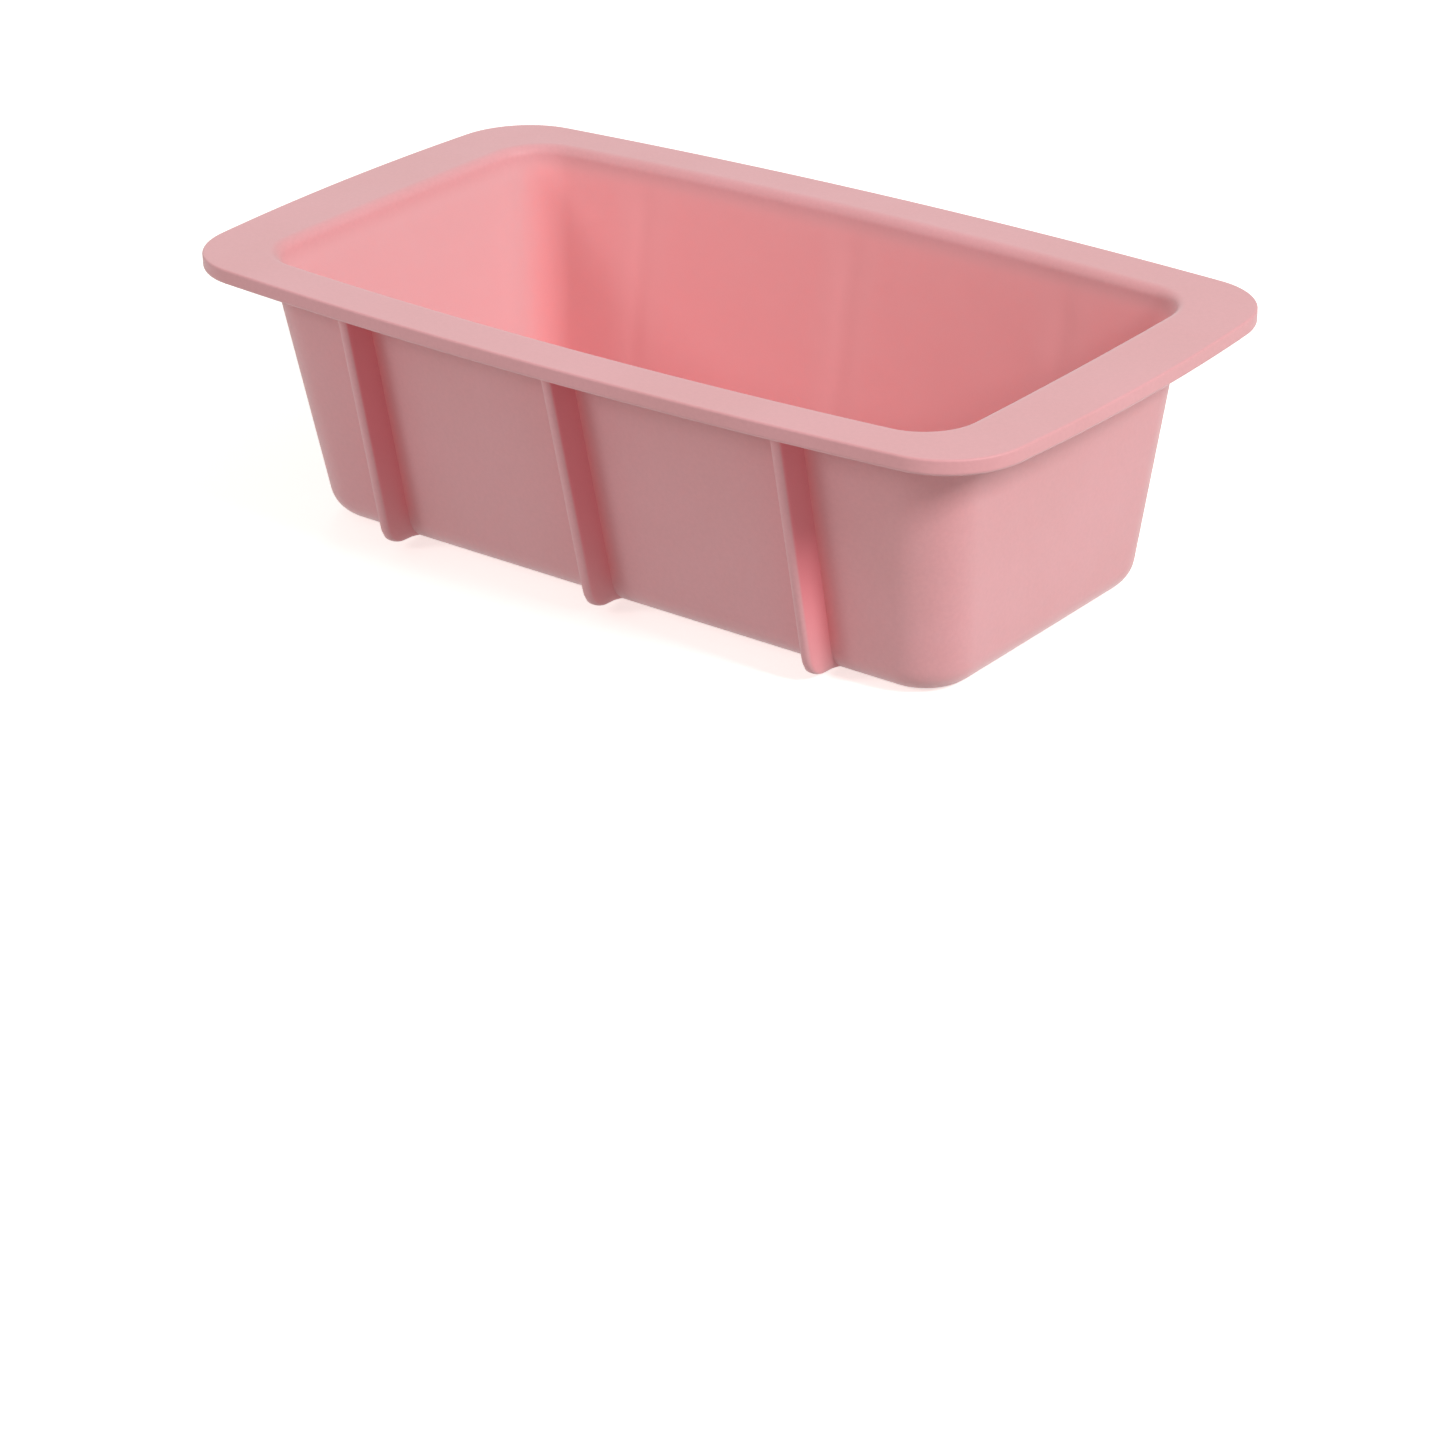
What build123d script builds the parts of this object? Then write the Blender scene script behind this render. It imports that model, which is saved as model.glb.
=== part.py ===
"""Silicone soap loaf mould: a tapered open tray with a wide flat rim, a down-turned edge bead
and three stiffening ribs on each long side.

The mould is one seamless silicone moulding. It is made here as the regions it is designed from,
each its own solid, meeting its neighbours face to face.

Frame: millimetres, +X along the loaf, +Y across it, +Z up. The origin is the centre of the base,
on the surface that the mould stands on. "Front" is -Y and "left" is -X.
"""

import os

from build123d import *

# Rim, measured over the down-turned bead
RIM_LENGTH = 270.0
RIM_WIDTH = 153.0
RIM_SIDE_BOW = 6.3
RIM_END_BOW = 4.0
RIM_CORNER_RADIUS = 23.0
RIM_THICKNESS = 2.4
RIM_TOP_EDGE_RADIUS = 0.8
BEAD_WIDTH = 3.4
BEAD_HEIGHT = 4.4
MOUTH_EDGE_RADIUS = 1.8

# Tray, outside, at the height of the rim's top and at the base
HEIGHT = 78.0
MOUTH_LENGTH = 233.0
MOUTH_WIDTH = 128.4
MOUTH_SIDE_BOW = 5.4
MOUTH_END_BOW = 1.0
MOUTH_CORNER_RADIUS = 17.0
BASE_LENGTH = 214.0
BASE_WIDTH = 97.0
BASE_CORNER_RADIUS = 15.0
BASE_EDGE_RADIUS = 7.5
WALL = 2.6

# Stiffening ribs on the long sides
RIB_PITCH = 72.0
RIB_DEPTH = 8.6
RIB_ROOT_THICKNESS = 4.4
RIB_CREST_THICKNESS = 3.4
RIB_CREST_RADIUS = 1.4
RIB_FOOT_HEIGHT = 1.6
RIB_FOOT_RADIUS = 2.2
RIB_ROOT_DEPTH = 1.5

# Where one region ends and the next begins
HEEL_TOP = 8.0
WALL_CORNER_X = 92.0
WALL_CORNER_Y = 33.0
GRIP_START_X = 110.0

FLANGE_UNDERSIDE = HEIGHT - RIM_THICKNESS
BEAD_UNDERSIDE = HEIGHT - BEAD_HEIGHT
CUT_SIZE = 400.0

os.makedirs("parts", exist_ok=True)


def bowed_outline(length, width, side_bow, end_bow, corner_radius):
    """Add a rounded rectangle to the sketch, length and width taken at its middles,
    with its sides bowed outward and its corners blended in."""
    x_corner = length / 2 - end_bow
    y_corner = width / 2 - side_bow
    corners = [
        (-x_corner, -y_corner),
        (x_corner, -y_corner),
        (x_corner, y_corner),
        (-x_corner, y_corner),
    ]
    middles = [(0, -width / 2), (length / 2, 0), (0, width / 2), (-length / 2, 0)]
    with BuildLine() as outline:
        for number, middle in enumerate(middles):
            start = corners[number]
            end = corners[(number + 1) % 4]
            if (side_bow, end_bow)[number % 2] > 0:
                ThreePointArc(start, middle, end)
            else:
                Line(start, end)
    make_face(outline.edges())
    fillet(vertices(), radius=corner_radius)


def tray_section(height, inset):
    """Add the tray's outside section at a height, moved inward by inset."""
    rise = height / HEIGHT
    length = BASE_LENGTH + (MOUTH_LENGTH - BASE_LENGTH) * rise
    width = BASE_WIDTH + (MOUTH_WIDTH - BASE_WIDTH) * rise
    radius = BASE_CORNER_RADIUS + (MOUTH_CORNER_RADIUS - BASE_CORNER_RADIUS) * rise
    bowed_outline(
        length - 2 * inset,
        width - 2 * inset,
        MOUTH_SIDE_BOW * rise,
        MOUTH_END_BOW * rise,
        radius - inset,
    )


def rim_outline(inset):
    """Add the rim's outline, moved inward by inset."""
    bowed_outline(
        RIM_LENGTH - 2 * inset,
        RIM_WIDTH - 2 * inset,
        RIM_SIDE_BOW,
        RIM_END_BOW,
        RIM_CORNER_RADIUS - inset,
    )


def outer_half_width(x, height):
    """Distance from the middle plane to the outside of a long wall."""
    rise = height / HEIGHT
    half_length = (BASE_LENGTH + (MOUTH_LENGTH - BASE_LENGTH) * rise) / 2 - MOUTH_END_BOW * rise
    middle = (BASE_WIDTH + (MOUTH_WIDTH - BASE_WIDTH) * rise) / 2
    return middle - MOUTH_SIDE_BOW * rise * (x / half_length) ** 2


def keep_between(low, high):
    """Keep only the part of the current solid inside the box from low to high."""
    length, width, height = [high[i] - low[i] for i in range(3)]
    centre = ((high[0] + low[0]) / 2, (high[1] + low[1]) / 2)
    with BuildSketch(Plane.XY.offset(low[2])) as window:
        with Locations(centre):
            Rectangle(length, width)
    extrude(window.sketch, amount=height, mode=Mode.INTERSECT)


def export(part, name):
    """Name a finished solid and write it to its own file."""
    part.label = name
    export_step(part, f"parts/{name}.step")


# The tray as one solid block, with its rounded heel
with BuildPart() as tray_block:
    with BuildSketch(Plane.XY):
        tray_section(0.0, 0.0)
    with BuildSketch(Plane.XY.offset(HEIGHT)):
        tray_section(HEIGHT, 0.0)
    loft(ruled=True)
    fillet(tray_block.faces().sort_by(Axis.Z)[0].edges(), radius=BASE_EDGE_RADIUS)

# The hollow inside it, which runs out through the mouth
with BuildPart() as hollow:
    with BuildSketch(Plane.XY.offset(WALL)):
        tray_section(WALL, WALL)
    with BuildSketch(Plane.XY.offset(HEIGHT)):
        tray_section(HEIGHT, WALL)
    loft(ruled=True)
    fillet(hollow.faces().sort_by(Axis.Z)[0].edges(), radius=BASE_EDGE_RADIUS - WALL)

with BuildPart() as tray_shell:
    add(tray_block.part)
    add(hollow.part, mode=Mode.SUBTRACT)

# Floor and rounded heel
with BuildPart() as base_panel:
    add(tray_shell.part)
    keep_between((-CUT_SIZE, -CUT_SIZE, 0), (CUT_SIZE, CUT_SIZE, HEEL_TOP))
export(base_panel.part, "base_panel")

# Long walls, end walls and the rounded corners between them
wall_regions = {
    "front_wall": ((-WALL_CORNER_X, -CUT_SIZE), (WALL_CORNER_X, 0)),
    "back_wall": ((-WALL_CORNER_X, 0), (WALL_CORNER_X, CUT_SIZE)),
    "left_end_wall": ((-CUT_SIZE, -WALL_CORNER_Y), (0, WALL_CORNER_Y)),
    "right_end_wall": ((0, -WALL_CORNER_Y), (CUT_SIZE, WALL_CORNER_Y)),
    "front_left_corner": ((-CUT_SIZE, -CUT_SIZE), (-WALL_CORNER_X, -WALL_CORNER_Y)),
    "front_right_corner": ((WALL_CORNER_X, -CUT_SIZE), (CUT_SIZE, -WALL_CORNER_Y)),
    "back_left_corner": ((-CUT_SIZE, WALL_CORNER_Y), (-WALL_CORNER_X, CUT_SIZE)),
    "back_right_corner": ((WALL_CORNER_X, WALL_CORNER_Y), (CUT_SIZE, CUT_SIZE)),
}
for wall_name, (low_corner, high_corner) in wall_regions.items():
    with BuildPart() as wall_piece:
        add(tray_shell.part)
        keep_between((*low_corner, HEEL_TOP), (*high_corner, FLANGE_UNDERSIDE))
    export(wall_piece.part, wall_name)

# The whole flat flange, with the rounded mouth edge and the broken outer edge
with BuildPart() as flange:
    with BuildSketch(Plane.XY.offset(FLANGE_UNDERSIDE)):
        rim_outline(0.0)
    extrude(amount=RIM_THICKNESS)
    fillet(flange.faces().sort_by(Axis.Z)[-1].edges(), radius=RIM_TOP_EDGE_RADIUS)
    add(hollow.part, mode=Mode.SUBTRACT)
    fillet(flange.faces().sort_by(Axis.Z)[-1].inner_wires()[0].edges(), radius=MOUTH_EDGE_RADIUS)

# The whole down-turned bead under the flange's outer edge
with BuildPart() as bead:
    with BuildSketch(Plane.XY.offset(BEAD_UNDERSIDE)):
        rim_outline(0.0)
    extrude(amount=BEAD_HEIGHT - RIM_THICKNESS)
    with BuildSketch(Plane.XY.offset(BEAD_UNDERSIDE)):
        rim_outline(BEAD_WIDTH)
    extrude(amount=BEAD_HEIGHT - RIM_THICKNESS, mode=Mode.SUBTRACT)

rim_regions = {
    "front": ((-GRIP_START_X, -CUT_SIZE), (GRIP_START_X, 0)),
    "back": ((-GRIP_START_X, 0), (GRIP_START_X, CUT_SIZE)),
    "left": ((-CUT_SIZE, -CUT_SIZE), (-GRIP_START_X, CUT_SIZE)),
    "right": ((GRIP_START_X, -CUT_SIZE), (CUT_SIZE, CUT_SIZE)),
}
flange_names = {
    "front": "front_rim_flange",
    "back": "back_rim_flange",
    "left": "left_grip_tab",
    "right": "right_grip_tab",
}
for side, (low_corner, high_corner) in rim_regions.items():
    with BuildPart() as flange_piece:
        add(flange.part)
        keep_between((*low_corner, 0), (*high_corner, CUT_SIZE))
    export(flange_piece.part, flange_names[side])
    with BuildPart() as bead_piece:
        add(bead.part)
        keep_between((*low_corner, 0), (*high_corner, CUT_SIZE))
    export(bead_piece.part, f"{side}_edge_bead")


def rib_section(x, side, height):
    """Add a rib's tapered plan section, from inside the wall out to its rounded crest."""
    root = side * (outer_half_width(x, height) - RIB_ROOT_DEPTH)
    crest = side * (outer_half_width(x, height) + RIB_DEPTH)
    with BuildLine() as outline:
        Polyline(
            (x - RIB_ROOT_THICKNESS / 2, root),
            (x - RIB_CREST_THICKNESS / 2, crest),
            (x + RIB_CREST_THICKNESS / 2, crest),
            (x + RIB_ROOT_THICKNESS / 2, root),
            close=True,
        )
    make_face(outline.edges())


# Three ribs on each long side, from beside the base up to the flange's underside
for side_name, side in {"front": -1, "back": 1}.items():
    for place, x in {"left": -RIB_PITCH, "middle": 0.0, "right": RIB_PITCH}.items():
        with BuildPart() as rib:
            with BuildSketch(Plane.XY.offset(RIB_FOOT_HEIGHT)):
                rib_section(x, side, RIB_FOOT_HEIGHT)
            with BuildSketch(Plane.XY.offset(FLANGE_UNDERSIDE)):
                rib_section(x, side, FLANGE_UNDERSIDE)
            loft(ruled=True)
            crest_face = rib.faces().sort_by(Axis.Y)[0 if side < 0 else -1]
            upright_edges = crest_face.edges().sort_by(SortBy.LENGTH)[-2:]
            fillet(upright_edges, radius=RIB_CREST_RADIUS)
            foot_edge = rib.faces().sort_by(Axis.Z)[0].edges().sort_by(Axis.Y)[0 if side < 0 else -1]
            fillet(foot_edge, radius=RIB_FOOT_RADIUS)
            add(tray_block.part, mode=Mode.SUBTRACT)
        export(rib.part, f"{side_name}_{place}_rib")
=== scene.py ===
"""Silicone soap loaf mould, standing on a pale studio floor.

The mould is one seamless moulding. Its floor, walls, rim and edge bead are one continuous skin here,
and each of its six ribs is a closed skin of its own that starts inside the wall. Everything is in
metres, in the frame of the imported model: +X along the loaf, +Z up, the base's centre at the origin.
"""

import math

import bmesh
import bpy
import numpy as np
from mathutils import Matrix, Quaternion, Vector


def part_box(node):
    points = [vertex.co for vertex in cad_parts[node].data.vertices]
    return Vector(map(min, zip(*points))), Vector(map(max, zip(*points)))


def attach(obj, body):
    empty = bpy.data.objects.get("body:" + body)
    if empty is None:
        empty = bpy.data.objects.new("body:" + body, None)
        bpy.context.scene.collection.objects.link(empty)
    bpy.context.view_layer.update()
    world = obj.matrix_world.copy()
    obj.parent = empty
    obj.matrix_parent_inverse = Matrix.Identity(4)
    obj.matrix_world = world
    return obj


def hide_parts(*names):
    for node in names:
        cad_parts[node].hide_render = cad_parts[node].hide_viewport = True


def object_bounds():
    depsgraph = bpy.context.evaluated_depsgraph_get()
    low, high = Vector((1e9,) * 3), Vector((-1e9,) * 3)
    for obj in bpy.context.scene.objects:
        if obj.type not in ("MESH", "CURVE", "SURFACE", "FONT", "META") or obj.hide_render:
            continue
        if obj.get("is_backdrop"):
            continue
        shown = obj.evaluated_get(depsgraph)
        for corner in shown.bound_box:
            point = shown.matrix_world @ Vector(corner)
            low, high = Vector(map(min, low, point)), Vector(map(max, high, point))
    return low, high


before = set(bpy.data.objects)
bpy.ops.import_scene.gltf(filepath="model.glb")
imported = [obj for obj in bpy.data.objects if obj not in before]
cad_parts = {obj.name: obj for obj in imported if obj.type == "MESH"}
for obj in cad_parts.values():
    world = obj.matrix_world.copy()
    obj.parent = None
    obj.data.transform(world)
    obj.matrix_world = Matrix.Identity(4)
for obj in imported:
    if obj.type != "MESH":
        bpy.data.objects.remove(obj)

CAD_LOW, CAD_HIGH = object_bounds()
MM = 0.001

# ---------------------------------------------------------------- sizes taken from the frame
RIM_LENGTH = CAD_HIGH.x - CAD_LOW.x
RIM_WIDTH = CAD_HIGH.y - CAD_LOW.y
HEIGHT = CAD_HIGH.z
RIM_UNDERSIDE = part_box("front_rim_flange")[0].z
BEAD_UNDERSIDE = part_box("front_edge_bead")[0].z
RIB_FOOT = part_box("front_middle_rib")[0].z
RIB_PITCH = sum(corner.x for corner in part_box("front_right_rib")) / 2

# ---------------------------------------------------------------- the design's driving sizes
RIM_SIDE_BOW = 6.3 * MM
RIM_END_BOW = 4.0 * MM
RIM_CORNER_RADIUS = 23.0 * MM
BEAD_WIDTH = 3.4 * MM
MOUTH_LENGTH = 233.0 * MM
MOUTH_WIDTH = 128.4 * MM
MOUTH_SIDE_BOW = 5.4 * MM
MOUTH_END_BOW = 1.0 * MM
MOUTH_CORNER_RADIUS = 17.0 * MM
BASE_LENGTH = 214.0 * MM
BASE_WIDTH = 97.0 * MM
BASE_CORNER_RADIUS = 15.0 * MM
BASE_EDGE_RADIUS = 7.5 * MM
WALL = 2.6 * MM
# a bow too small to see, so that a straight side can be drawn as an arc too
STRAIGHT_BOW = 0.01 * MM

# ---------------------------------------------------------------- roundings that the skin adds
RIM_EDGE_RADIUS = 0.55 * MM
BEAD_EDGE_RADIUS = 1.1 * MM
BEAD_EDGE_RISE = 0.8 * BEAD_EDGE_RADIUS
BEAD_ROOT_RADIUS = 1.0 * MM
NECK_RADIUS = 3.2 * MM
MOUTH_EDGE_RADIUS = 2.6 * MM
# distance from a rounding to the extra ring that keeps the flat beside it flat
SUPPORT = 0.5 * MM

# ---------------------------------------------------------------- ribs, and the sink marks behind them
RIB_DEPTH = 8.6 * MM
RIB_ROOT_HALF = 2.2 * MM
RIB_CREST_HALF = 1.7 * MM
RIB_CREST_RADIUS = 0.92 * RIB_CREST_HALF
RIB_FOOT_NARROWING = 0.45
RIB_FOOT_BLEND = 3
RIB_FOOT_RADIUS = 2.4 * MM
RIB_HEAD_REACH = 1.3 * MM
RIB_HEAD_HEIGHT = 5.0 * MM
RIB_TUCK = 1.0 * MM
RIB_HEAD_TUCK = 0.6 * MM
SINK_DEPTH = 0.30 * MM
SINK_HALF_WIDTH = 3.2 * MM
SINK_FADE = 8.0 * MM

# ---------------------------------------------------------------- how finely the skin is cut
SIDE_STEPS = 112
END_STEPS = 36
CORNER_STEPS = 20
BEND_STEPS = 8
WALL_STEPS = 24
FLANGE_STEPS = 8
BEAD_ROOT_STEPS = 5
BEAD_FACE_STEPS = 3
RIM_EDGE_STEPS = 6
RIB_SIDE_STEPS = 8
RIB_ROUND_STEPS = 7
RIB_HEIGHT_STEPS = 33


def outline(length, width, side_bow, end_bow, corner_radius, inset=0.0):
    """Points round a rounded rectangle with bowed sides, from the middle of the right end,
    anticlockwise. Every outline has the same number of points in the same places."""
    side_bow = max(side_bow, STRAIGHT_BOW)
    end_bow = max(end_bow, STRAIGHT_BOW)
    x_corner = length / 2 - end_bow
    y_corner = width / 2 - side_bow
    side_radius = (x_corner**2 + side_bow**2) / (2 * side_bow)
    end_radius = (y_corner**2 + end_bow**2) / (2 * end_bow)
    side_centre = np.array([0.0, width / 2 - side_radius])
    end_centre = np.array([length / 2 - end_radius, 0.0])
    # the corner arc's centre is where the two bows, moved in by its radius, cross
    to_side = side_radius - corner_radius
    to_end = end_radius - corner_radius
    apart = end_centre - side_centre
    distance = np.linalg.norm(apart)
    along = (to_side**2 - to_end**2 + distance**2) / (2 * distance)
    across = math.sqrt(to_side**2 - along**2)
    unit = apart / distance
    sideways = np.array([-unit[1], unit[0]])
    crossings = [side_centre + along * unit + sign * across * sideways for sign in (-1, 1)]
    corner_centre = max(crossings, key=lambda point: point[0] + point[1])
    side_angle = math.atan2(*(corner_centre - side_centre)[::-1])
    end_angle = math.atan2(*(corner_centre - end_centre)[::-1])

    def arc(centre, radius, start, stop, steps):
        angles = np.linspace(start, stop, steps + 1)
        return centre + (radius - inset) * np.stack([np.cos(angles), np.sin(angles)], axis=1)

    end_half = arc(end_centre, end_radius, 0.0, end_angle, END_STEPS // 2)
    corner = arc(corner_centre, corner_radius, end_angle, side_angle, CORNER_STEPS)
    side_half = arc(side_centre, side_radius, side_angle, math.pi / 2, SIDE_STEPS // 2)
    quarter = np.vstack([end_half[:-1], corner[:-1], side_half])
    upper = np.vstack([quarter, (quarter * [-1, 1])[::-1][1:]])
    return np.vstack([upper, (upper * [1, -1])[::-1][1:-1]])


def at_height(points, height):
    return np.column_stack([points, np.full(len(points), height)])


def tray_ring(height, inset=0.0):
    """The tray's section at a height, moved inward by inset."""
    rise = height / HEIGHT
    section = outline(
        BASE_LENGTH + (MOUTH_LENGTH - BASE_LENGTH) * rise,
        BASE_WIDTH + (MOUTH_WIDTH - BASE_WIDTH) * rise,
        MOUTH_SIDE_BOW * rise,
        MOUTH_END_BOW * rise,
        BASE_CORNER_RADIUS + (MOUTH_CORNER_RADIUS - BASE_CORNER_RADIUS) * rise,
        inset,
    )
    return at_height(section, height)


def rim_ring(height, inset=0.0):
    """The rim's outer edge at a height, moved inward by inset."""
    section = outline(RIM_LENGTH, RIM_WIDTH, RIM_SIDE_BOW, RIM_END_BOW, RIM_CORNER_RADIUS, inset)
    return at_height(section, height)


def bend(start, corner, stop, steps=BEND_STEPS, weight=0.74):
    """Rings of a rounding that leaves start towards corner and arrives at stop from it."""
    rings = []
    for t in np.linspace(0.0, 1.0, steps + 1):
        a, b, c = (1 - t) ** 2, 2 * weight * t * (1 - t), t**2
        rings.append((a * start + b * corner + c * stop) / (a + b + c))
    return rings


def between(start, stop, steps):
    """Rings strictly between two rings, evenly spaced."""
    return [start + (stop - start) * t for t in np.linspace(0, 1, steps + 1)[1:-1]]


def skin_rings():
    """Every ring of the skin, from the underside of the base, up the outside, over the rim and
    down the inside to the floor."""
    rings = []
    # underside and rounded heel
    rings += [tray_ring(0.0, BASE_EDGE_RADIUS + SUPPORT)]
    rings += bend(tray_ring(0.0, BASE_EDGE_RADIUS), tray_ring(0.0), tray_ring(BASE_EDGE_RADIUS))
    # outside of the walls, up to the rounded neck under the rim
    wall_low = tray_ring(BASE_EDGE_RADIUS + SUPPORT)
    wall_high = tray_ring(RIM_UNDERSIDE - NECK_RADIUS - SUPPORT)
    rings += [wall_low] + between(wall_low, wall_high, WALL_STEPS) + [wall_high]
    neck_corner = tray_ring(RIM_UNDERSIDE)
    neck_out = tray_ring(RIM_UNDERSIDE, -NECK_RADIUS)
    rings += bend(tray_ring(RIM_UNDERSIDE - NECK_RADIUS), neck_corner, neck_out)
    # underside of the flange, out to the bead's root
    flat_in = tray_ring(RIM_UNDERSIDE, -NECK_RADIUS - SUPPORT)
    flat_out = rim_ring(RIM_UNDERSIDE, BEAD_WIDTH + BEAD_ROOT_RADIUS + SUPPORT)
    rings += [flat_in] + between(flat_in, flat_out, FLANGE_STEPS // 2) + [flat_out]
    rings += bend(
        rim_ring(RIM_UNDERSIDE, BEAD_WIDTH + BEAD_ROOT_RADIUS),
        rim_ring(RIM_UNDERSIDE, BEAD_WIDTH),
        rim_ring(RIM_UNDERSIDE - BEAD_ROOT_RADIUS, BEAD_WIDTH),
        steps=BEAD_ROOT_STEPS,
    )
    # round the bead's lower edge and up its outer face
    rings += bend(
        rim_ring(BEAD_UNDERSIDE + BEAD_EDGE_RISE, BEAD_WIDTH),
        rim_ring(BEAD_UNDERSIDE, BEAD_WIDTH),
        rim_ring(BEAD_UNDERSIDE, BEAD_WIDTH - BEAD_EDGE_RADIUS),
    )
    rings += bend(
        rim_ring(BEAD_UNDERSIDE, BEAD_EDGE_RADIUS),
        rim_ring(BEAD_UNDERSIDE),
        rim_ring(BEAD_UNDERSIDE + BEAD_EDGE_RADIUS),
    )
    face_low = rim_ring(BEAD_UNDERSIDE + BEAD_EDGE_RADIUS + 0.5 * SUPPORT)
    face_high = rim_ring(HEIGHT - RIM_EDGE_RADIUS - 0.5 * SUPPORT)
    rings += [face_low] + between(face_low, face_high, BEAD_FACE_STEPS) + [face_high]
    rings += bend(
        rim_ring(HEIGHT - RIM_EDGE_RADIUS),
        rim_ring(HEIGHT),
        rim_ring(HEIGHT, RIM_EDGE_RADIUS),
        steps=RIM_EDGE_STEPS,
    )
    # across the top of the flange to the rounded mouth
    top_out = rim_ring(HEIGHT, RIM_EDGE_RADIUS + SUPPORT)
    top_in = tray_ring(HEIGHT, WALL - MOUTH_EDGE_RADIUS - SUPPORT)
    rings += [top_out] + between(top_out, top_in, FLANGE_STEPS) + [top_in]
    rings += bend(
        tray_ring(HEIGHT, WALL - MOUTH_EDGE_RADIUS),
        tray_ring(HEIGHT, WALL),
        tray_ring(HEIGHT - MOUTH_EDGE_RADIUS, WALL),
    )
    # down the inside to the rounded edge of the floor
    inside_radius = BASE_EDGE_RADIUS - WALL
    inner_high = tray_ring(HEIGHT - MOUTH_EDGE_RADIUS - SUPPORT, WALL)
    inner_low = tray_ring(WALL + inside_radius + SUPPORT, WALL)
    rings += [inner_high] + between(inner_high, inner_low, WALL_STEPS) + [inner_low]
    rings += bend(
        tray_ring(WALL + inside_radius, WALL),
        tray_ring(WALL, WALL),
        tray_ring(WALL, WALL + inside_radius),
    )
    rings += [tray_ring(WALL, WALL + inside_radius + SUPPORT)]
    return rings


def patch(ring, ring_start, vertex_count):
    """Fill a ring with an even net of quads. Returns the net's own points and the index of
    every net point, as rows along X."""
    long_steps = SIDE_STEPS + CORNER_STEPS
    short_steps = END_STEPS + CORNER_STEPS
    total = len(ring)
    back_right = short_steps // 2
    back_left = back_right + long_steps
    front_left = back_left + short_steps
    front_right = front_left + long_steps
    front = np.arange(front_left, front_right + 1) % total
    back = np.arange(back_left, back_right - 1, -1) % total
    left = np.arange(front_left, back_left - 1, -1) % total
    right = np.arange(front_right, front_right + short_steps + 1) % total
    index = np.zeros((short_steps + 1, long_steps + 1), int)
    index[0] = front
    index[-1] = back
    index[:, 0] = left
    index[:, -1] = right
    index += ring_start
    # each net point blends the four edges and takes the four corners off again
    u = np.linspace(0, 1, long_steps + 1)[None, :, None]
    v = np.linspace(0, 1, short_steps + 1)[:, None, None]
    front_to_back = (1 - v) * ring[front][None] + v * ring[back][None]
    left_to_right = (1 - u) * ring[left][:, None] + u * ring[right][:, None]
    corners = (
        (1 - u) * (1 - v) * ring[front[0]]
        + u * (1 - v) * ring[front[-1]]
        + (1 - u) * v * ring[back[0]]
        + u * v * ring[back[-1]]
    )
    net = front_to_back + left_to_right - corners
    inner = net[1:-1, 1:-1].reshape(-1, 3)
    inner_index = vertex_count + np.arange(len(inner))
    index[1:-1, 1:-1] = inner_index.reshape(short_steps - 1, long_steps - 1)
    return inner, index


def half_width(x, height):
    """Distance from the middle plane to the outside of a long wall, the heel's rounding included."""
    rise = height / HEIGHT
    half_length = (BASE_LENGTH + (MOUTH_LENGTH - BASE_LENGTH) * rise) / 2 - MOUTH_END_BOW * rise
    width = (BASE_WIDTH + (MOUTH_WIDTH - BASE_WIDTH) * rise) / 2
    width -= MOUTH_SIDE_BOW * rise * (x / half_length) ** 2
    under = max(BASE_EDGE_RADIUS - height, 0.0)
    return width - (BASE_EDGE_RADIUS - math.sqrt(max(BASE_EDGE_RADIUS**2 - under**2, 0.0)))


def make_object(name, vertices, faces, material):
    """A smooth-shaded piece in the scene, from points and faces."""
    mesh = bpy.data.meshes.new(name)
    mesh.from_pydata([tuple(v) for v in vertices], [], [tuple(int(i) for i in f) for f in faces])
    mesh.validate()
    mesh.shade_smooth()
    mesh.materials.append(material)
    piece = bpy.data.objects.new(name, mesh)
    bpy.context.scene.collection.objects.link(piece)
    return piece


def add_sink_marks(vertices, rib_places):
    """Dish the inside of the long walls a little behind each rib."""
    x, y, z = vertices.T
    outside = np.array([half_width(along, np.clip(height, 0.0, HEIGHT)) for along, _, height in vertices])
    bottom = 2 * BASE_EDGE_RADIUS
    top = HEIGHT - 2 * MOUTH_EDGE_RADIUS
    on_inside = np.abs(y) < outside - 0.5 * WALL
    on_long_wall = np.abs(y) > 0.3 * BASE_WIDTH
    chosen = on_inside & on_long_wall & (z > bottom) & (z < top)
    depth = SINK_DEPTH * np.clip((z - bottom) / SINK_FADE, 0, 1) * np.clip((top - z) / SINK_FADE, 0, 1)
    dish = sum(np.exp(-(((x - rib_x) / SINK_HALF_WIDTH) ** 2)) for rib_x in rib_places)
    vertices[:, 1] = y + np.where(chosen, np.sign(y) * depth * dish, 0.0)
    return vertices


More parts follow.
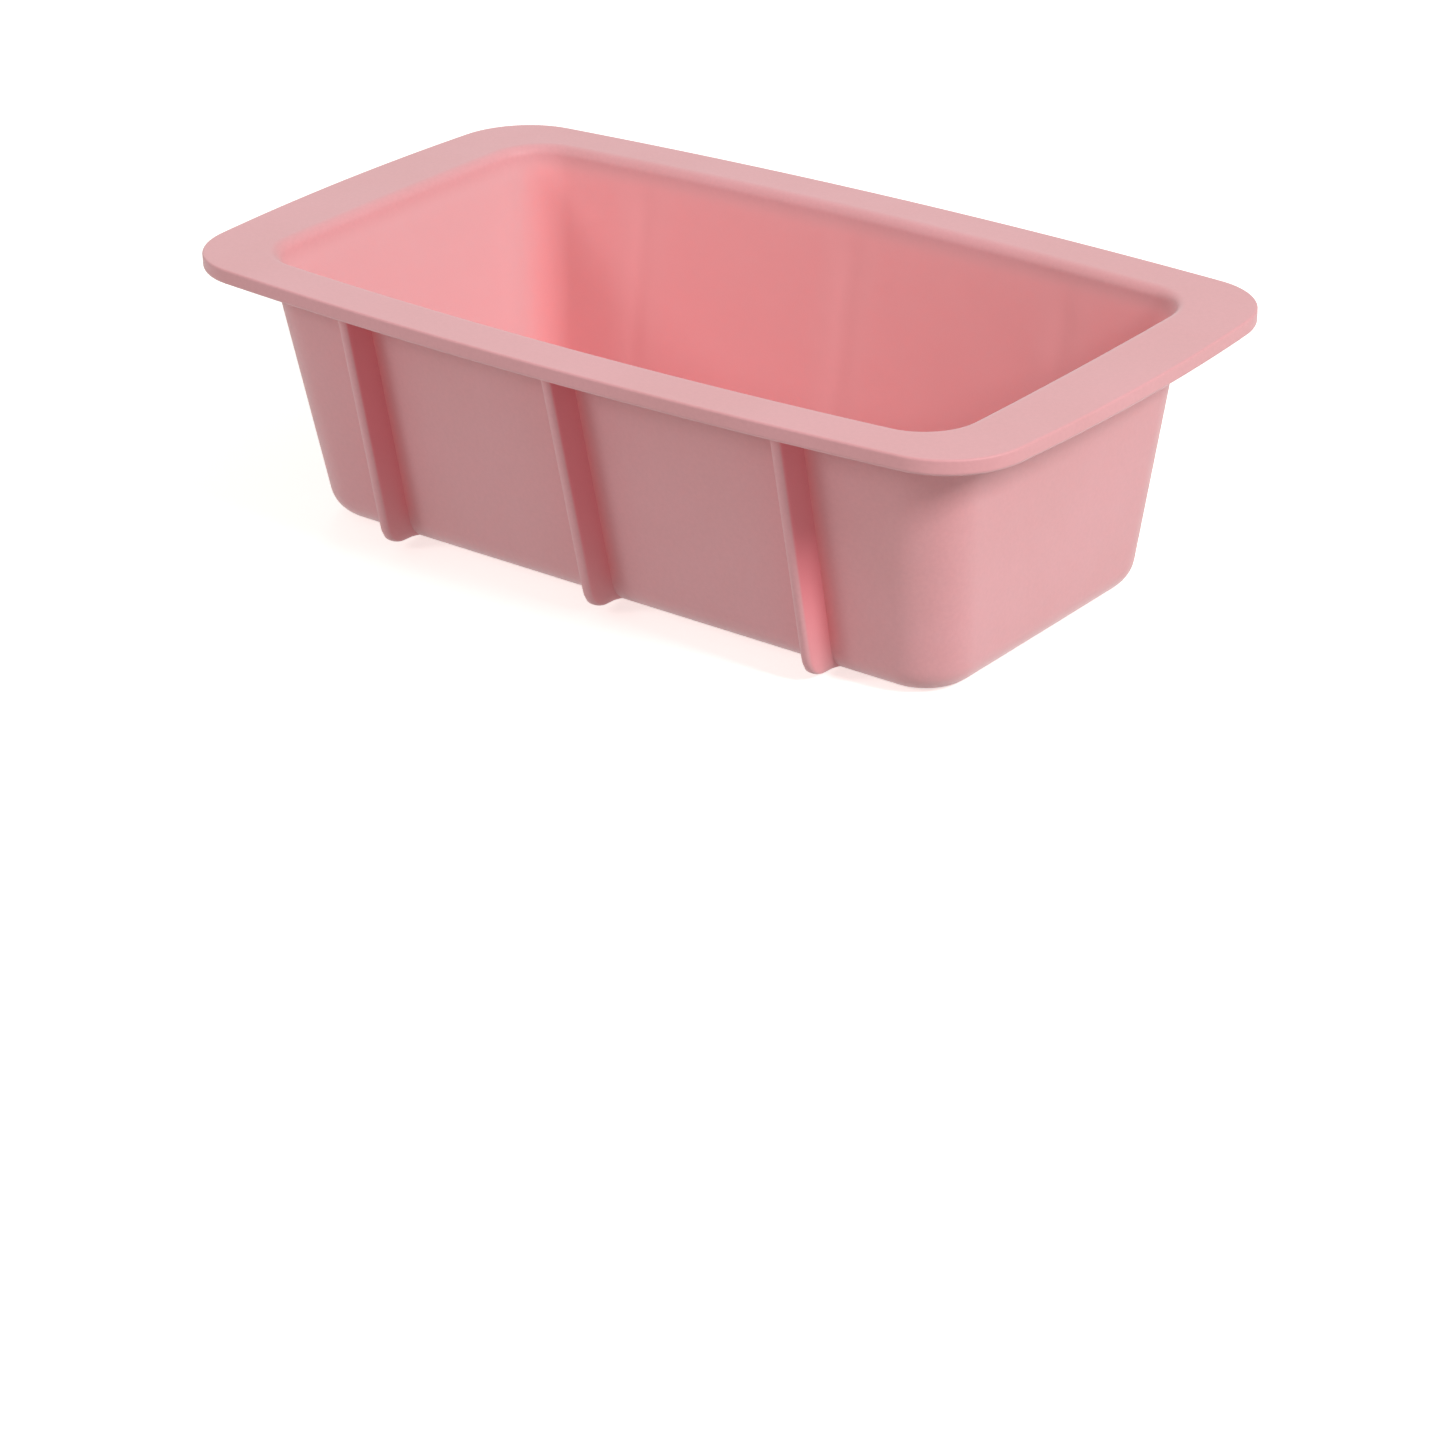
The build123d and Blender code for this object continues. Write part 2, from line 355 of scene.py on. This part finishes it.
def make_shell(material, rib_places):
    """The whole moulding but its ribs: the rings joined by quads, closed under the base and on the
    cavity's floor."""
    rings = skin_rings()
    count = len(rings[0])
    vertices = np.vstack(rings)
    faces = []
    for number in range(len(rings) - 1):
        low, high = number * count, (number + 1) * count
        for i in range(count):
            j = (i + 1) % count
            faces.append((low + i, low + j, high + j, high + i))
    under_points, under = patch(rings[0], 0, len(vertices))
    vertices = np.vstack([vertices, under_points])
    floor_points, floor = patch(rings[-1], (len(rings) - 1) * count, len(vertices))
    vertices = np.vstack([vertices, floor_points])
    for net, facing_down in ((under, True), (floor, False)):
        for row in range(net.shape[0] - 1):
            for column in range(net.shape[1] - 1):
                near = (net[row, column], net[row, column + 1])
                far = (net[row + 1, column + 1], net[row + 1, column])
                quad = near + far
                faces.append(quad[::-1] if facing_down else quad)
    vertices = add_sink_marks(vertices, rib_places)
    return make_object("moulded_shell", vertices, faces, material)


def rib_profile():
    """Half of a rib's section as (distance from the middle, height off the wall), from inside the
    wall to the crest."""
    shoulder = RIB_DEPTH - RIB_CREST_RADIUS
    points = []
    for t in np.linspace(0, 1, RIB_SIDE_STEPS + 1)[:-1]:
        across = RIB_ROOT_HALF + (RIB_CREST_HALF - RIB_ROOT_HALF) * t
        points.append((across, (shoulder + RIB_TUCK) * t - RIB_TUCK))
    for angle in np.linspace(0, math.pi / 2, RIB_ROUND_STEPS + 1):
        across = RIB_CREST_HALF - RIB_CREST_RADIUS + RIB_CREST_RADIUS * math.cos(angle)
        points.append((across, shoulder + RIB_CREST_RADIUS * math.sin(angle)))
    return points


def rib_levels():
    """Heights up a rib, from its foot to its head inside the rim, each with how far the foot's
    rounding has drawn the rib in there: 1 at the very bottom, 0 above the rounding."""
    levels = []
    for angle in np.linspace(0, math.pi / 2, RIB_ROUND_STEPS + 1):
        levels.append((RIB_FOOT + RIB_FOOT_RADIUS * (1 - math.cos(angle)), 1 - math.sin(angle)))
    body_start = levels[-1][0]
    body_end = RIM_UNDERSIDE + RIB_HEAD_TUCK
    for t in np.linspace(0, 1, RIB_HEIGHT_STEPS + 1)[1:]:
        levels.append((body_start + (body_end - body_start) * t, 0.0))
    return levels


def make_rib(name, x_middle, side, material):
    """A rib that starts inside the wall, with a rounded crest and foot and a head that reaches out
    to meet the bead."""
    profile = rib_profile()
    section = [(-across, off) for across, off in profile] + profile[::-1]
    levels = rib_levels()
    vertices = []
    for height, shrink in levels:
        head = np.clip((height - (RIM_UNDERSIDE - RIB_HEAD_HEIGHT)) / RIB_HEAD_HEIGHT, 0, 1)
        for across, off in section:
            out = max(off / RIB_DEPTH, 0.0)
            narrow = 1 - RIB_FOOT_NARROWING * shrink * min(RIB_FOOT_BLEND * out, 1.0)
            off_wall = off - RIB_FOOT_RADIUS * shrink * out + RIB_HEAD_REACH * head**2 * out
            x = x_middle + across * narrow
            vertices.append((x, side * (half_width(x, height) + off_wall), height))
    size = len(section)
    faces = []
    for row in range(len(levels) - 1):
        for i in range(size):
            a, b = row * size + i, row * size + (i + 1) % size
            faces.append((a, b, b + size, a + size))
    # each end is closed by a ladder of quads between the section's two mirrored halves
    for row in (0, len(levels) - 1):
        loop = range(row * size, (row + 1) * size)
        for i in range(size // 2 - 1):
            faces.append((loop[i], loop[i + 1], loop[size - 2 - i], loop[size - 1 - i]))
    piece = make_object(name, np.array(vertices), faces, material)
    fix_normals(piece)
    return piece


def fix_normals(piece):
    """Turn every face outward."""
    work = bmesh.new()
    work.from_mesh(piece.data)
    bmesh.ops.recalc_face_normals(work, faces=work.faces)
    work.to_mesh(piece.data)
    work.free()


# ---------------------------------------------------------------- material
CLOUD_DARK = (0.730, 0.342, 0.359, 1)
CLOUD_PALE = (0.755, 0.355, 0.378, 1)
SPECKLE_DARK = (0.965, 0.96, 0.96, 1)
SPECKLE_PALE = (1, 1, 1, 1)
# painted warm glow of bounced light, for the inside end and side walls
INNER_END_PAINTED_GLOW = (0.750, 0.402, 0.418, 1)
INNER_SIDE_PAINTED_GLOW = (0.880, 0.385, 0.400, 1)
# painted shade, deeper red, for creases
CREASE_PAINTED_SHADE = (0.840, 0.250, 0.270, 1)
# painted shade, deeper red, on the sides of the ribs
RIB_SIDE_PAINTED_SHADE = (0.790, 0.215, 0.250, 1)
# how far the painted crease shade reaches
CREASE_SHADE_REACH = 8.0 * MM
TRANSLUCENCE = 0.35
FROST_HEIGHT = 0.04 * MM
SWELL_HEIGHT = 0.6 * MM


class NodeKit:
    """Short words for the nodes that the silicone is made of. Each gives back the socket, or the
    node, that the next one needs."""

    def __init__(self, material):
        self.nodes = material.node_tree.nodes
        self.links = material.node_tree.links
        self.place = self.nodes.new("ShaderNodeTexCoord").outputs["Object"]

    def noise(self, scale, detail):
        node = self.nodes.new("ShaderNodeTexNoise")
        node.inputs["Scale"].default_value = scale
        node.inputs["Detail"].default_value = detail
        node.inputs["Roughness"].default_value = 0.5
        self.links.new(self.place, node.inputs["Vector"])
        return node.outputs["Fac"]

    def ramp(self, source, low, low_colour, high, high_colour):
        node = self.nodes.new("ShaderNodeValToRGB")
        first, last = node.color_ramp.elements
        first.position = low
        first.color = low_colour
        last.position = high
        last.color = high_colour
        self.links.new(source, node.inputs["Fac"])
        return node.outputs["Color"]

    def calc(self, operation, first, second=0.0):
        node = self.nodes.new("ShaderNodeMath")
        node.operation = operation
        for socket, value in zip(node.inputs, (first, second)):
            if isinstance(value, float):
                socket.default_value = value
            else:
                self.links.new(value, socket)
        return node.outputs["Value"]

    def rise(self, source, start, end):
        """0 below start, 1 above end, smooth between."""
        node = self.nodes.new("ShaderNodeMapRange")
        node.interpolation_type = "SMOOTHSTEP"
        node.inputs["From Min"].default_value = start
        node.inputs["From Max"].default_value = end
        self.links.new(source, node.inputs["Value"])
        return node.outputs["Result"]

    def fall(self, source, start, end):
        """1 below start, 0 above end, smooth between."""
        return self.calc("SUBTRACT", 1.0, self.rise(source, start, end))

    def both(self, first, second):
        return self.calc("MULTIPLY", first, second)

    def multiply_colours(self, first, second):
        node = self.nodes.new("ShaderNodeMix")
        node.data_type = "RGBA"
        node.blend_type = "MULTIPLY"
        node.inputs[0].default_value = 1.0
        self.links.new(first, node.inputs[6])
        self.links.new(second, node.inputs[7])
        return node.outputs[2]

    def mix_towards(self, base, colour, amount):
        node = self.nodes.new("ShaderNodeMix")
        node.data_type = "RGBA"
        node.inputs[7].default_value = colour
        self.links.new(amount, node.inputs[0])
        self.links.new(base, node.inputs[6])
        return node.outputs[2]

    def split(self, vector):
        node = self.nodes.new("ShaderNodeSeparateXYZ")
        self.links.new(vector, node.inputs[0])
        return node.outputs

    def openness(self, reach):
        """1 in the open, towards 0 where other surfaces stand within reach."""
        node = self.nodes.new("ShaderNodeAmbientOcclusion")
        node.samples = 12
        node.inputs["Distance"].default_value = reach
        return node.outputs["AO"]

    def bump(self, height, strength, distance, under=None):
        node = self.nodes.new("ShaderNodeBump")
        node.inputs["Strength"].default_value = strength
        node.inputs["Distance"].default_value = distance
        self.links.new(height, node.inputs["Height"])
        if under is not None:
            self.links.new(under, node.inputs["Normal"])
        return node.outputs["Normal"]


def silicone_material():
    """Frosted pink silicone: cloudy and finely speckled, with a painted warm glow of bounced light on
    the inside walls of the cavity, and painted shade, deeper red, in creases and on the sides of the
    ribs, where light bounces in the real material."""
    material = bpy.data.materials.new("pink_silicone")
    material.use_nodes = True
    shader = material.node_tree.nodes["Principled BSDF"]
    kit = NodeKit(material)
    spot = kit.split(kit.place)
    facing = kit.split(kit.nodes.new("ShaderNodeNewGeometry").outputs["Normal"])
    to_rib = kit.calc("PINGPONG", spot["X"], RIB_PITCH / 2)

    # colour all over
    clouds = kit.ramp(kit.noise(22.0, 3.0), 0.35, CLOUD_DARK, 0.65, CLOUD_PALE)
    speckle = kit.ramp(kit.noise(900.0, 2.0), 0.30, SPECKLE_DARK, 0.70, SPECKLE_PALE)
    colour = kit.multiply_colours(clouds, speckle)

    # painted warm glow of bounced light on the inside walls, which lean back, so they face up a little, and
    # stop below the flat rim
    inside = kit.both(kit.rise(facing["Z"], 0.02, 0.10), kit.fall(spot["Z"], 70 * MM, 76 * MM))
    inside_long = kit.both(inside, kit.rise(kit.calc("ABSOLUTE", facing["Y"]), 0.3, 0.9))
    colour = kit.mix_towards(colour, INNER_END_PAINTED_GLOW, inside)
    colour = kit.mix_towards(colour, INNER_SIDE_PAINTED_GLOW, inside_long)

    # painted shade, deeper red, in creases, but not where the heel comes close to the table
    above_table = kit.rise(spot["Z"], 3 * MM, 14 * MM)
    crease_shade = kit.both(kit.fall(kit.openness(CREASE_SHADE_REACH), 0.45, 0.97), above_table)
    colour = kit.mix_towards(colour, CREASE_PAINTED_SHADE, crease_shade)

    # painted shade, deeper red, on the sides of the ribs, less towards their feet
    sideways = kit.rise(kit.calc("ABSOLUTE", facing["X"]), 0.70, 0.98)
    rib_side = kit.both(sideways, kit.fall(to_rib, 3 * MM, 5 * MM))
    rib_side_shade = kit.both(rib_side, kit.rise(spot["Z"], -20 * MM, 40 * MM))
    colour = kit.mix_towards(colour, RIB_SIDE_PAINTED_SHADE, rib_side_shade)
    kit.links.new(colour, shader.inputs["Base Color"])

    # light passes through the walls, away from the ribs' roots and the rim
    thin = kit.both(kit.rise(to_rib, 6 * MM, 12 * MM), kit.fall(spot["Z"], 66 * MM, 73 * MM))
    kit.links.new(kit.calc("MULTIPLY", thin, TRANSLUCENCE), shader.inputs["Subsurface Weight"])

    rough = kit.nodes.new("ShaderNodeMapRange")
    rough.inputs["To Min"].default_value = 0.50
    rough.inputs["To Max"].default_value = 0.62
    kit.links.new(kit.noise(60.0, 4.0), rough.inputs["Value"])
    kit.links.new(rough.outputs["Result"], shader.inputs["Roughness"])

    frost = kit.bump(kit.noise(2600.0, 3.0), 0.35, FROST_HEIGHT)
    swell = kit.bump(kit.noise(45.0, 2.0), 0.5, SWELL_HEIGHT, under=frost)
    kit.links.new(swell, shader.inputs["Normal"])

    shader.inputs["Subsurface Radius"].default_value = (1.0, 0.5, 0.45)
    shader.inputs["Subsurface Scale"].default_value = 2 * MM
    shader.inputs["IOR"].default_value = 1.41
    shader.inputs["Sheen Weight"].default_value = 0.45
    shader.inputs["Sheen Roughness"].default_value = 0.5
    return material


# ---------------------------------------------------------------- pieces
RIBS = {}
for side_name, side in (("front", -1), ("back", 1)):
    for place_name in ("left", "middle", "right"):
        node_name = f"{side_name}_{place_name}_rib"
        low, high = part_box(node_name)
        RIBS[node_name] = ((low.x + high.x) / 2, side)

rib_xs = sorted({round(x, 5) for x, _ in RIBS.values()})
silicone = silicone_material()

shell = make_shell(silicone, rib_xs)
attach(shell, "root")
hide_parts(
    "base_panel",
    "front_wall",
    "back_wall",
    "left_end_wall",
    "right_end_wall",
    "front_left_corner",
    "front_right_corner",
    "back_left_corner",
    "back_right_corner",
    "front_rim_flange",
    "back_rim_flange",
    "left_grip_tab",
    "right_grip_tab",
    "front_edge_bead",
    "back_edge_bead",
    "left_edge_bead",
    "right_edge_bead",
)

for node_name, (x_middle, side) in RIBS.items():
    rib = make_rib(f"{node_name}_skin", x_middle, side, silicone)
    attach(rib, "root")
    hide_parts(node_name)

# ---------------------------------------------------------------- studio
FLOOR_RADIUS = 6.0
FLOOR_GLOW = 0.55
FLOOR_STEPS = 96
FLOOR_DROP = 0.2 * MM
BACKDROP_HEIGHT = 5.0
WORLD_STRENGTH = 0.485


def stage_piece(name, vertices, faces, material):
    """A piece of the studio, which throws no coloured light back onto the mould."""
    mesh = bpy.data.meshes.new(name)
    mesh.from_pydata(vertices, [], faces)
    mesh.materials.append(material)
    piece = bpy.data.objects.new(name, mesh)
    piece.visible_diffuse = False
    bpy.context.scene.collection.objects.link(piece)
    piece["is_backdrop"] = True
    return piece


def floor_material():
    """White matt floor, lifted a little so that it stays pale in shade. It is see-through from
    below, so that the mould's underside can be looked at."""
    material = bpy.data.materials.new("pale_floor")
    material.use_nodes = True
    nodes = material.node_tree.nodes
    links = material.node_tree.links
    shader = nodes["Principled BSDF"]
    shader.inputs["Base Color"].default_value = (0.93, 0.92, 0.895, 1)
    shader.inputs["Emission Color"].default_value = (1.0, 0.985, 0.955, 1)
    shader.inputs["Emission Strength"].default_value = FLOOR_GLOW
    shader.inputs["Roughness"].default_value = 0.9
    shader.inputs["Specular IOR Level"].default_value = 0.1
    underneath = nodes.new("ShaderNodeNewGeometry")
    clear = nodes.new("ShaderNodeBsdfTransparent")
    one_sided = nodes.new("ShaderNodeMixShader")
    links.new(underneath.outputs["Backfacing"], one_sided.inputs[0])
    links.new(shader.outputs[0], one_sided.inputs[1])
    links.new(clear.outputs[0], one_sided.inputs[2])
    links.new(one_sided.outputs[0], nodes["Material Output"].inputs["Surface"])
    return material


def backdrop_material():
    """Evenly lit white cloth all round the table."""
    material = bpy.data.materials.new("white_backdrop")
    material.use_nodes = True
    nodes = material.node_tree.nodes
    links = material.node_tree.links
    glow = nodes.new("ShaderNodeEmission")
    glow.inputs["Color"].default_value = (1.0, 0.995, 0.985, 1)
    glow.inputs["Strength"].default_value = 1.0
    links.new(glow.outputs[0], nodes["Material Output"].inputs["Surface"])
    return material


turns = np.linspace(0, 2 * math.pi, FLOOR_STEPS, endpoint=False)
floor_edge = [(FLOOR_RADIUS * math.cos(turn), FLOOR_RADIUS * math.sin(turn), -FLOOR_DROP) for turn in turns]
stage_piece("studio_floor", floor_edge, [tuple(range(FLOOR_STEPS))], floor_material())

backdrop_top = [(x, y, BACKDROP_HEIGHT) for x, y, _ in floor_edge]
backdrop_faces = []
for i in range(FLOOR_STEPS):
    j = (i + 1) % FLOOR_STEPS
    backdrop_faces.append((i, j, j + FLOOR_STEPS, i + FLOOR_STEPS))
backdrop = stage_piece("studio_backdrop", floor_edge + backdrop_top, backdrop_faces, backdrop_material())
backdrop.visible_glossy = False
backdrop.visible_shadow = False

world = bpy.data.worlds.new("studio_world")
bpy.context.scene.world = world
world.use_nodes = True
surround = world.node_tree.nodes["Background"]
surround.inputs["Color"].default_value = (1.0, 0.99, 0.97, 1)
surround.inputs["Strength"].default_value = WORLD_STRENGTH

LIGHT_DISTANCE = 3.2
LIGHT_SIZE = 0.8
LIGHT_AIM = Vector((0, 0, (CAD_LOW.z + CAD_HIGH.z) / 2))


def softbox(name, azimuth, elevation, power):
    """A square soft light that looks at the mould from an angle round it, counted from +X towards
    +Y, and an angle above the floor."""
    turn = math.radians(azimuth)
    rise = math.radians(elevation)
    flat = math.cos(rise)
    direction = Vector((flat * math.cos(turn), flat * math.sin(turn), math.sin(rise)))
    data = bpy.data.lights.new(name, "AREA")
    data.shape = "SQUARE"
    data.size = LIGHT_SIZE
    data.energy = power
    light = bpy.data.objects.new(name, data)
    light.location = LIGHT_AIM + direction * LIGHT_DISTANCE
    light.rotation_mode = "QUATERNION"
    light.rotation_quaternion = (-direction).to_track_quat("-Z", "Y")
    bpy.context.scene.collection.objects.link(light)


softbox("key_right", -3, 36, 71.0)
softbox("front_fill", 238, 28, 18.0)
softbox("back_glow", 135, 40, 5.0)

# ---------------------------------------------------------------- camera
CAMERA_PLACE = (0.6560, -0.8186, 0.4672)
# it looks along +Y, turned towards -X by its azimuth and down by its pitch
CAMERA_AZIMUTH = 38.91
CAMERA_PITCH = 26.33
CAMERA_ROLL = 1.55
CAMERA_LENS = 105.8
SENSOR_WIDTH = 36.0

azimuth = math.radians(CAMERA_AZIMUTH)
pitch = math.radians(CAMERA_PITCH)
flat = math.cos(pitch)
forward = Vector((-math.sin(azimuth) * flat, math.cos(azimuth) * flat, -math.sin(pitch)))
roll = Quaternion((0, 0, 1), -math.radians(CAMERA_ROLL))
camera_data = bpy.data.cameras.new("camera")
camera_data.sensor_width = SENSOR_WIDTH
camera_data.lens = CAMERA_LENS
camera = bpy.data.objects.new("camera", camera_data)
camera.location = CAMERA_PLACE
camera.rotation_mode = "QUATERNION"
camera.rotation_quaternion = forward.to_track_quat("-Z", "Y") @ roll
bpy.context.scene.collection.objects.link(camera)
bpy.context.scene.camera = camera
bpy.context.scene.view_settings.view_transform = "Standard"

low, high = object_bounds()
